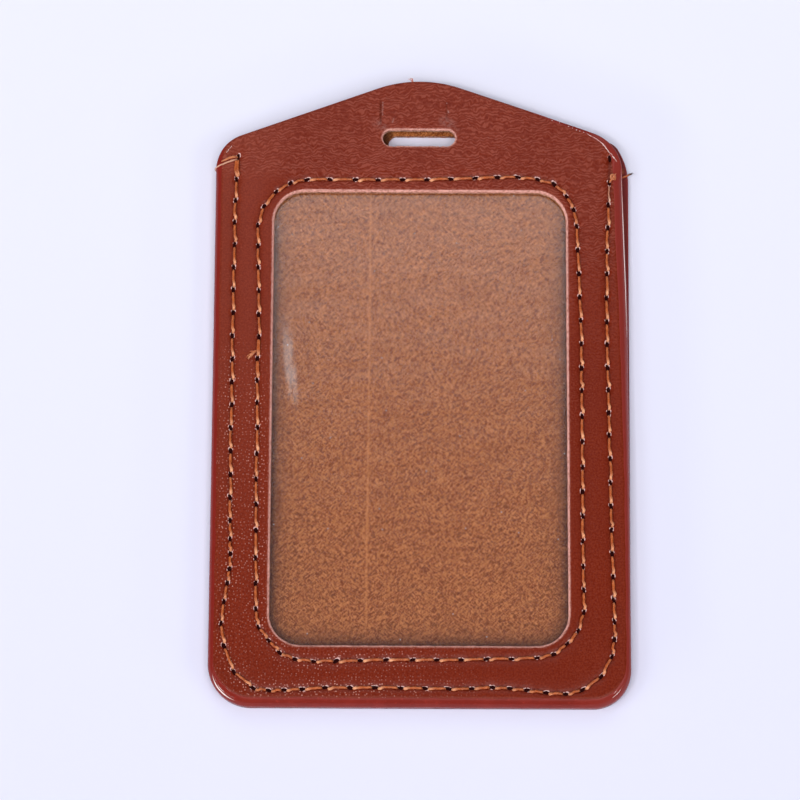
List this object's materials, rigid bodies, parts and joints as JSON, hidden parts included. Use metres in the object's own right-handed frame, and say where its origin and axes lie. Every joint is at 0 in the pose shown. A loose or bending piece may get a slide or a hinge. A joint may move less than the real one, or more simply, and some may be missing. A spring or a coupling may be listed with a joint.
{
  "type": "id badge wallet",
  "caption": "Vertical open-top badge wallet: two sewn leather-look panels, a clear film window for a card, and a slotted crown for a lanyard clip.",
  "frame": {"origin": "centre of the outline, on the back face that the wallet lies on", "axes": "+Z out of the front face, +Y towards the crown with the lanyard slot, +X to the right seen from the front"},
  "size_m": [0.0704, 0.1092, 0.0038],
  "materials": {
    "leather_skin": "fine grain, satin",
    "fibre_board": "matt, fibrous",
    "edge_paint": "glossy edge coating",
    "clear_film": "clear, glossy",
    "stitch_thread": "twisted, slight sheen"
  },
  "bodies": {
    "wallet": {"back_skin": "leather_skin", "back_board": "fibre_board", "back_edge_paint": "edge_paint", "seam_welt": "fibre_board", "front_skin": "leather_skin", "front_board": "fibre_board", "front_edge_paint": "edge_paint", "window_film": "clear_film", "window_needle_thread": "stitch_thread", "window_bobbin_thread": "stitch_thread", "side_needle_thread": "stitch_thread", "side_bobbin_thread": "stitch_thread"},
    "front_lip": {"front_skin_crown": "leather_skin", "front_board_crown": "fibre_board", "front_edge_paint_crown": "edge_paint"}
  },
  "joints": [
    {"name": "mouth_flex", "type": "hinge", "parent": "wallet", "child": "front_lip", "pos_m": [0, 0.0416, 0.0035], "axis": [1, 0, 0], "range_deg": [0, 40], "stiffness_Nm_per_rad": 0.01}
  ]
}
